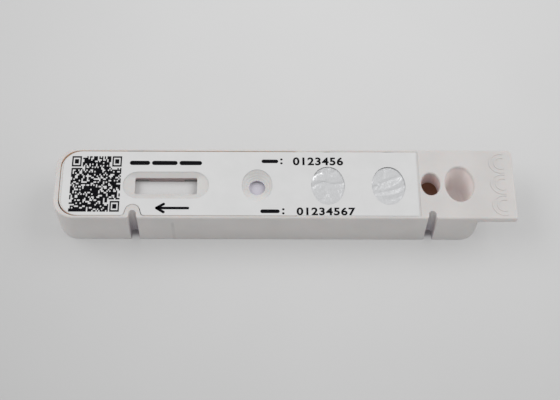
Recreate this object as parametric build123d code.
from build123d import *
from math import acos, atan2, cos, degrees, hypot, radians, sin
import os

# A lateral flow test cassette. A long moulded body holds a paper test strip under an inset
# cover at one end. Two foil-sealed wells, two open wells and a finger tab follow along it.
# X runs along the body towards the tab, Y runs across it and Z is up. The origin is the
# middle of the footprint, on the table. Sizes are in millimetres.

# Body
body_width = 20.4
body_height = 12.2
wall = 1.5
deck_thickness = 1.6
end_taper = 0.3
side_taper = 0.32
strip_end_radius = 5.4
tab_root_radius = 5.0
top_edge_radius = 0.5

# Rim round the cover and the label
lip = 0.6
strip_end_lip = 1.3

# Distances along the body, each from the feature before it
window_from_end = 28.5
port_from_window = 23.35
recess_past_port = 10.35
first_well_from_recess = 7.85
well_pitch = 15.55
small_bore_from_well = 10.85
bore_pitch = 7.45
root_from_large_bore = 6.0
tab_reach = 8.25

# Finger tab
tab_rear_radius = 1.3
tab_front_radius = 0.7
ridge_rows = 3
ridge_pitch = 6.2
ridge_width = 0.42
ridge_height = 0.12
ridge_outer_radius = 2.85
ridge_inner_radius = 1.65
ridge_cut = 0.7
grip_from_tab_end = 3.2

# Positioning notches in the front wall
first_notch_from_end = 20.3
notch_width = 1.95
notch_depth = 2.3
notch_mouth_radius = 0.9
notch_foot_gap = 1.7
notch_boss_radius = 1.75
notch_boss_reach = 3.85
boss_spread = 0.9
boss_foot_radius = 0.9

# Witness line of a mould insert on the front wall
witness_from_end = 30.35
witness_width = 0.35
witness_depth = 0.16
witness_top = 9.6

# Strip cover, its recess and the space below it
label_recess = 0.15
cover_thickness = 1.6
cover_gap = 0.13
cover_ledge = 0.9
strip_space = 1.35
floor_thickness = 1.4
cover_corner_radius = 0.8
cover_corner_relief = 0.5

# Round pegs that hold the cover, and their six-sided sockets
peg_radius = 0.8
peg_length = 3.0
peg_clearance = 0.05
socket_sides = 6
peg_inset = 2.6
peg_spread = 6.3
socket_wall = 0.9
socket_spare = 0.4

# Line of the strip, the window and the port, off the body's middle
strip_line = -0.6

# Reading window
window_length = 22.0
window_width = 7.9
opening_length = 15.9
opening_width = 4.8
opening_shift = 0.22
opening_corner = 0.4
window_depth = 0.85

# Sample port
port_length = 7.85
port_width = 9.4
port_throat = 4.25
port_depth = 1.15

# Foil-sealed wells
well_length = 9.8
well_width = 12.6
well_draft = 0.6
cup_wall = 1.1
cup_stand = 0.9
cup_floor_radius = 1.2
cup_floor_slopes = 3
seal_thickness = 0.08
seal_length = 14.8
seal_margin = 0.05

# Open wells by the tab
small_bore_length = 4.9
small_bore_width = 6.5
small_bore_sleeve = 5.1
sleeve_wall = 0.9
large_bore_length = 7.5
large_bore_width = 10.2
large_bore_draft = 0.8
bore_rim_bevel = 0.25

# Stiffening ribs under the strip
rib_thickness = 1.0
rib_height = 3.0
rib_pitch = 15.0
rib_count = 3
first_rib_from_end = 13.5

# Label
label_thickness = 0.1
label_margin = 0.25
label_end_inset = 0.75
label_past_well = 7.5
label_hole_length = 8.65
label_hole_width = 11.15
label_corner_radius = 0.3
label_notch_gap = 0.1
step_from_label = 0.5

# Test strip, with the free space at each end of the channel that it lies in
strip_start_space = 2.35
strip_end_space = 3.85
strip_width = 5.0
card_thickness = 0.3
membrane_overlap = 2.25
membrane_thickness = 0.15
conjugate_length = 8.0
conjugate_thickness = 0.35
sample_thickness = 0.5
pad_lap = 1.6
lap_slope = 0.4
pad_headroom = 0.08
guide_gap = 0.15
guide_thickness = 0.8
guide_height = 0.9
guide_length = 9.0
press_bar_width = 1.0

# Stations along X
overall_length = (
    window_from_end + port_from_window + recess_past_port + first_well_from_recess + well_pitch
    + small_bore_from_well + bore_pitch + root_from_large_bore + tab_reach
)
strip_end_x = -overall_length / 2
tab_end_x = overall_length / 2
root_x = tab_end_x - tab_reach
window_x = strip_end_x + window_from_end
port_x = window_x + port_from_window
recess_start_x = strip_end_x + strip_end_lip
recess_end_x = port_x + recess_past_port
well_x = [recess_end_x + first_well_from_recess]
well_x.append(well_x[0] + well_pitch)
small_bore_x = well_x[1] + small_bore_from_well
large_bore_x = small_bore_x + bore_pitch
notch_x = [strip_end_x + first_notch_from_end, small_bore_x]
label_start_x = recess_start_x + label_end_inset
label_end_x = well_x[1] + label_past_well
label_recess_end_x = label_end_x + step_from_label

# Levels
deck_z = body_height - label_recess
deck_underside = body_height - deck_thickness
cover_underside = deck_z - cover_thickness
strip_floor = cover_underside - strip_space
floor_underside = strip_floor - floor_thickness
card_top = strip_floor + card_thickness
membrane_top = card_top + membrane_thickness
pad_ceiling = cover_underside - pad_headroom

# Half widths
half_width = body_width / 2
recess_half_width = half_width - lip
front_face = -half_width
boss_centre_y = front_face + notch_boss_reach - notch_boss_radius

# The window's ends are round, a hair short of half circles
round_end_share = 0.49
window_end_radius = round_end_share * window_width

# Stations of the strip's layers
card_start_x = recess_start_x + cover_ledge + strip_start_space
sample_end_x = recess_end_x - cover_ledge - strip_end_space
membrane_start_x = window_x - opening_length / 2 - membrane_overlap
conjugate_end_x = port_x - port_throat / 2
conjugate_start_x = conjugate_end_x - conjugate_length
membrane_end_x = conjugate_start_x + pad_lap


def bar_outline(start, end, half, start_radius, end_radius):
    """A long rounded rectangle, with one corner radius at each end."""
    length = end - start
    shape = Pos((start + end) / 2, 0) * Rectangle(length, 2 * half)
    shape = fillet(shape.vertices().group_by(Axis.X)[0], start_radius)
    return fillet(shape.vertices().group_by(Axis.X)[-1], end_radius)


def skirt(inset, top, bottom):
    """The tapered block below the deck, drawn in by a wall's thickness."""
    sections = []
    for z in (bottom, top):
        drop = (deck_underside - z) / deck_underside
        shape = bar_outline(
            strip_end_x + end_taper * drop + inset,
            root_x - end_taper * drop - inset,
            half_width - side_taper * drop - inset,
            strip_end_radius - inset,
            tab_root_radius - inset,
        )
        sections.append(Pos(0, 0, z) * shape)
    return loft(sections, ruled=True)


def deck_plate():
    """The flat top plate, which runs on past the skirt as the finger tab."""
    length = tab_end_x - strip_end_x
    plan = Rectangle(length, body_width)
    plan = fillet(plan.vertices().group_by(Axis.X)[0], strip_end_radius)
    tab_corners = plan.vertices().group_by(Axis.X)[-1].sort_by(Axis.Y)
    plan = fillet(tab_corners[-1], tab_rear_radius)
    tab_corners = plan.vertices().group_by(Axis.X)[-1].sort_by(Axis.Y)
    plan = fillet(tab_corners[0], tab_front_radius)
    plate = extrude(Pos(0, 0, deck_underside) * plan, deck_thickness)
    top_edges = plate.faces().sort_by(Axis.Z)[-1].outer_wire().edges()
    return fillet(top_edges, top_edge_radius)


def boss_plan():
    """Plan of the wall that bulges inwards behind a notch, as an arc with spreading legs."""
    foot_x = notch_boss_radius + boss_spread
    foot_y = front_face - lip
    drop = foot_y - boss_centre_y
    turn = atan2(drop, foot_x) + acos(notch_boss_radius / hypot(foot_x, drop))
    x = notch_boss_radius * cos(turn)
    y = boss_centre_y + notch_boss_radius * sin(turn)
    back = ThreePointArc((-x, y), (0, front_face + notch_boss_reach), (x, y))
    legs = Polyline((x, y), (foot_x, foot_y), (-foot_x, foot_y), (-x, y))
    return make_face([back, legs])


def recess_plan(end, end_radius):
    """Plan of a recess inside the lip, which steps round the boss of the first notch."""
    plan = bar_outline(recess_start_x, end, recess_half_width, strip_end_radius - lip, end_radius)
    plan = plan - Pos(notch_x[0], 0) * boss_plan()
    feet = []
    for vertex in plan.vertices():
        beside_notch = abs(vertex.X - notch_x[0]) < notch_boss_radius + boss_spread
        if beside_notch and abs(vertex.Y + recess_half_width) < 0.01:
            feet.append(vertex)
    return fillet(feet, boss_foot_radius)


def cover_recess():
    """Plan of the recess that the cover drops into."""
    return recess_plan(recess_end_x, cover_corner_radius)


def notch_plan():
    """Plan of a round-backed notch with a flared mouth, open to the front."""
    radius = notch_width / 2
    back = Pos(0, front_face + notch_depth - radius) * Circle(radius)
    slot = Pos(0, front_face) * Rectangle(
        notch_width, notch_depth - radius, align=(Align.CENTER, Align.MIN)
    )
    outside = Pos(0, front_face) * Rectangle(
        4 * notch_mouth_radius + notch_width, wall, align=(Align.CENTER, Align.MAX)
    )
    plan = back + slot + outside
    mouth = []
    for vertex in plan.vertices():
        if abs(vertex.Y - front_face) < 0.01 and abs(vertex.X) < radius + 0.01:
            mouth.append(vertex)
    return fillet(mouth, notch_mouth_radius)


def oval(length, width):
    """An oval of four tangent arcs, wider across the body than it is long."""
    half_long = width / 2
    half_short = length / 2
    diagonal = hypot(half_long, half_short)
    excess = half_long - half_short
    end_radius = diagonal * (diagonal - excess) / width
    side_radius = diagonal * (diagonal + excess) / length
    reach = side_radius / (side_radius - end_radius)
    x = (side_radius - half_short) * (reach - 1)
    y = (half_long - end_radius) * reach
    return make_face([
        ThreePointArc((x, -y), (half_short, 0), (x, y)),
        ThreePointArc((x, y), (0, half_long), (-x, y)),
        ThreePointArc((-x, y), (-half_short, 0), (-x, -y)),
        ThreePointArc((-x, -y), (0, -half_long), (x, -y)),
    ])


def oval_cup(length, width, draft, top, bottom):
    """A tapered oval block, as long and wide as given at its top."""
    depth = top - bottom
    return extrude(
        Pos(0, 0, top) * oval(length, width), depth, dir=(0, 0, -1),
        taper=degrees(atan2(draft, depth)),
    )


def cup_inside(length, width, draft):
    """The hollow of a blind well, with its floor rounded off in a few slopes."""
    floor = cup_stand + cup_wall
    hollow = oval_cup(length, width, draft, body_height, floor + cup_floor_radius)
    turn = 90 / cup_floor_slopes
    for i in range(cup_floor_slopes):
        drop = sin(radians((i + 1) * turn)) - sin(radians(i * turn))
        hollow += extrude(
            hollow.faces().sort_by(Axis.Z)[0], cup_floor_radius * drop, dir=(0, 0, -1),
            taper=(i + 0.5) * turn,
        )
    return hollow


def cup_outside(length, width, draft):
    """The solid block that a blind well is cored from."""
    return oval_cup(
        length + 2 * cup_wall, width + 2 * cup_wall, draft, deck_underside, cup_stand
    )


def peg_places():
    """Where the cover's pegs go: three pairs, clear of the strip and the notch."""
    places = []
    for x in (recess_start_x + peg_inset, port_x - port_length, recess_end_x - peg_inset):
        for y in (-peg_spread, peg_spread):
            places.append((x, y))
    return places


def inner_block():
    """Everything that stays solid inside the skirt: strip floor, ribs, cups and bosses."""
    depth = deck_underside - floor_underside
    span = recess_end_x + wall - strip_end_x
    block = Pos(strip_end_x, 0, floor_underside) * Box(
        span, body_width, depth, align=(Align.MIN, Align.CENTER, Align.MIN)
    )
    for i in range(rib_count):
        x = strip_end_x + first_rib_from_end + i * rib_pitch
        block += Pos(x, 0, floor_underside) * Box(
            rib_thickness, body_width, rib_height, align=(Align.CENTER, Align.CENTER, Align.MAX)
        )
    block += Pos(recess_end_x, 0, cup_stand) * Box(
        wall, body_width, deck_underside - cup_stand, align=(Align.MIN, Align.CENTER, Align.MIN)
    )
    for x in well_x:
        block += Pos(x, 0) * cup_outside(well_length, well_width, well_draft)
    block += Pos(large_bore_x, 0) * cup_outside(
        large_bore_length, large_bore_width, large_bore_draft
    )
    sleeve = oval(small_bore_length + 2 * sleeve_wall, small_bore_width + 2 * sleeve_wall)
    block += extrude(
        Pos(small_bore_x, 0, body_height - small_bore_sleeve) * sleeve,
        small_bore_sleeve - deck_thickness,
    )
    for x in notch_x:
        block += extrude(Pos(x, 0) * boss_plan(), deck_underside)
    socket_depth = peg_length - strip_space + socket_spare
    for x, y in peg_places():
        block += Pos(x, y, floor_underside) * Cylinder(
            peg_radius + peg_clearance + socket_wall,
            socket_depth,
            align=(Align.CENTER, Align.CENTER, Align.MAX),
        )
    return block


def strip_guides():
    """Low rails on the strip floor, on both sides of the strip."""
    reach = strip_width / 2 + guide_gap + guide_thickness / 2
    rails = []
    for x in (card_start_x + guide_length, window_x, port_x - guide_length):
        for side in (-1, 1):
            rails.append(Pos(x, strip_line + side * reach, strip_floor) * Box(
                guide_length, guide_thickness, guide_height,
                align=(Align.CENTER, Align.CENTER, Align.MIN),
            ))
    end_stop = Pos(sample_end_x + guide_gap, strip_line, strip_floor) * Box(
        guide_thickness, strip_width, guide_height,
        align=(Align.MIN, Align.CENTER, Align.MIN),
    )
    rails.append(end_stop)
    return rails


def grip_ridges():
    """Rows of nested crescents in low relief on the finger tab."""
    x = tab_end_x - grip_from_tab_end
    ridges = []
    for i in range(ridge_rows):
        y = (i - (ridge_rows - 1) / 2) * ridge_pitch
        for radius in (ridge_outer_radius, ridge_inner_radius):
            ring = Circle(radius + ridge_width / 2) - Circle(radius - ridge_width / 2)
            ring -= Pos(ridge_cut, 0) * Rectangle(
                radius, 3 * radius, align=(Align.MIN, Align.CENTER)
            )
            ridges.append(extrude(Pos(x, y, body_height) * ring, ridge_height))
    return ridges


def make_body():
    """The one-piece moulding, open underneath."""
    shell = deck_plate() + skirt(0, deck_underside, 0)
    shell -= skirt(wall, deck_underside, 0) - inner_block()
    for x in notch_x:
        shell -= extrude(Pos(x, 0) * notch_plan(), body_height)
        shell -= Pos(x, front_face + notch_depth - notch_width / 2) * Box(
            notch_width, notch_boss_reach, notch_foot_gap,
            align=(Align.CENTER, Align.MIN, Align.MIN),
        )

    label_pocket = recess_plan(label_recess_end_x, label_corner_radius)
    shell -= extrude(Pos(0, 0, deck_z) * label_pocket, label_recess)
    shell -= extrude(Pos(0, 0, cover_underside) * cover_recess(), cover_thickness)
    strip_pocket = offset(cover_recess(), -cover_ledge)
    shell -= extrude(Pos(0, 0, strip_floor) * strip_pocket, strip_space)
    for x in well_x:
        shell -= extrude(
            Pos(x, 0, deck_z) * oval(seal_length, 2 * (recess_half_width - seal_margin)),
            -seal_thickness,
        )
        shell -= Pos(x, 0) * cup_inside(well_length, well_width, well_draft)

    shell -= Pos(large_bore_x, 0) * cup_inside(
        large_bore_length, large_bore_width, large_bore_draft
    )
    bore = oval(small_bore_length, small_bore_width)
    shell -= extrude(Pos(small_bore_x, 0) * bore, body_height)
    rims = []
    for edge in shell.faces().sort_by(Axis.Z)[-1].inner_wires().edges():
        if edge.center().X > label_recess_end_x and edge.geom_type == GeomType.CIRCLE:
            rims.append(edge)
    shell = chamfer(rims, bore_rim_bevel)

    socket = RegularPolygon(peg_radius + peg_clearance, socket_sides, major_radius=False)
    socket_depth = peg_length - strip_space + socket_spare
    for x, y in peg_places():
        shell -= extrude(Pos(x, y, strip_floor) * socket, -socket_depth)
    shell -= Pos(strip_end_x + witness_from_end, front_face) * Box(
        witness_width, 2 * witness_depth, 2 * witness_top
    )
    for rail in strip_guides() + grip_ridges():
        shell += rail
    return shell


def window_dish():
    """The dished reading window: an oval edge that slopes to a square-cut opening."""
    top = Pos(window_x, strip_line, deck_z) * RectangleRounded(
        window_length, window_width, window_end_radius
    )
    floor = Pos(window_x, strip_line + opening_shift, deck_z - window_depth) * RectangleRounded(
        opening_length, opening_width, opening_corner
    )
    opening = extrude(floor, -cover_thickness)
    return loft([floor, top], ruled=True) + opening


def port_dish():
    """The sample port: an oval dish that slopes to a round throat."""
    top = Pos(port_x, strip_line, deck_z) * Ellipse(port_length / 2, port_width / 2)
    floor = Pos(port_x, strip_line, deck_z - port_depth) * Ellipse(
        port_throat / 2, port_throat / 2
    )
    throat = extrude(floor, -cover_thickness)
    return loft([floor, top], ruled=True) + throat


def cover_plan():
    """Plan of the cover, whose strip-end corners are cut a little rounder than the recess."""
    rounder = bar_outline(
        recess_start_x + cover_gap,
        recess_end_x - cover_gap,
        recess_half_width - cover_gap,
        strip_end_radius - lip + cover_corner_relief,
        cover_corner_radius,
    )
    return offset(cover_recess(), -cover_gap) & rounder


def make_cover():
    """The inset cover with its window, its port and the pegs that hold it."""
    plan = cover_plan()
    cover = extrude(Pos(0, 0, cover_underside) * plan, cover_thickness)
    cover -= window_dish()
    cover -= port_dish()
    for x, y in peg_places():
        cover += Pos(x, y, cover_underside) * Cylinder(
            peg_radius, peg_length, align=(Align.CENTER, Align.CENTER, Align.MAX)
        )
    bar_top = cover_underside
    bar_bottom = membrane_top + conjugate_thickness
    cover += Pos(conjugate_start_x + pad_lap / 2, strip_line, bar_bottom) * Box(
        press_bar_width, strip_width, bar_top - bar_bottom,
        align=(Align.CENTER, Align.CENTER, Align.MIN),
    )
    return cover


def make_label():
    """The film over the cover and the deck, cut out for the window, port, wells and notch."""
    half = recess_half_width - label_margin
    plan = bar_outline(
        label_start_x, label_end_x, half, strip_end_radius - lip - label_margin, label_corner_radius
    )
    notch_cut = offset(boss_plan(), cover_gap + label_notch_gap)
    plan -= Pos(notch_x[0], 0) * notch_cut
    feet = []
    for vertex in plan.vertices():
        beside_notch = abs(vertex.X - notch_x[0]) < notch_boss_radius + boss_spread + lip
        if beside_notch and abs(vertex.Y + half) < 0.01:
            feet.append(vertex)
    plan = fillet(feet, boss_foot_radius)
    plan -= Pos(window_x, strip_line) * RectangleRounded(
        window_length, window_width, window_end_radius
    )
    plan -= Pos(port_x, strip_line) * Ellipse(port_length / 2, port_width / 2)
    for x in well_x:
        plan -= Pos(x, strip_line) * oval(label_hole_length, label_hole_width)
    return extrude(Pos(0, 0, deck_z) * plan, label_thickness)


def make_seal(x):
    """The foil disc over one well, flush with the deck under the label."""
    disc = oval(seal_length, 2 * (recess_half_width - seal_margin))
    return extrude(Pos(x, 0, deck_z) * disc, -seal_thickness)


def strip_layer(start, end, bottom, thickness):
    """A flat layer of the strip."""
    return Pos((start + end) / 2, strip_line, bottom) * Box(
        end - start, strip_width, thickness, align=(Align.CENTER, Align.CENTER, Align.MIN)
    )


def lapped_pad(lap_end, step, far_end, high, low, thickness):
    """A pad that lies on the card and climbs over the end of the layer beside it."""
    away = 1 if far_end > step else -1
    shape = make_face(Polyline(
        (lap_end, high),
        (step, high),
        (step, low),
        (far_end, low),
        (far_end, low + thickness),
        (step + away * lap_slope, low + thickness),
        (step, high + thickness),
        (lap_end, high + thickness),
        close=True,
    ))
    slab = extrude(Plane.XZ * shape, strip_width / 2, both=True)
    return Pos(0, strip_line, 0) * slab


def make_card():
    return strip_layer(card_start_x, sample_end_x, strip_floor, card_thickness)


def make_membrane():
    return strip_layer(membrane_start_x, membrane_end_x, card_top, membrane_thickness)


def make_conjugate_pad():
    return lapped_pad(
        conjugate_start_x, membrane_end_x, conjugate_end_x,
        membrane_top, card_top, conjugate_thickness,
    )


def make_sample_pad():
    return lapped_pad(
        conjugate_end_x - pad_lap, conjugate_end_x, sample_end_x,
        card_top + conjugate_thickness, card_top, sample_thickness,
    )


def make_absorbent_pad():
    return lapped_pad(
        membrane_start_x + pad_lap, membrane_start_x, card_start_x,
        membrane_top, card_top, pad_ceiling - membrane_top,
    )


parts = {
    "body": make_body(),
    "strip_cover": make_cover(),
    "label": make_label(),
    "well_seal_1": make_seal(well_x[0]),
    "well_seal_2": make_seal(well_x[1]),
    "backing_card": make_card(),
    "membrane": make_membrane(),
    "conjugate_pad": make_conjugate_pad(),
    "sample_pad": make_sample_pad(),
    "absorbent_pad": make_absorbent_pad(),
}

os.makedirs("parts", exist_ok=True)
for name, solid in parts.items():
    export_step(solid, f"parts/{name}.step")
    print(name, round(solid.volume, 2), len(solid.solids()))
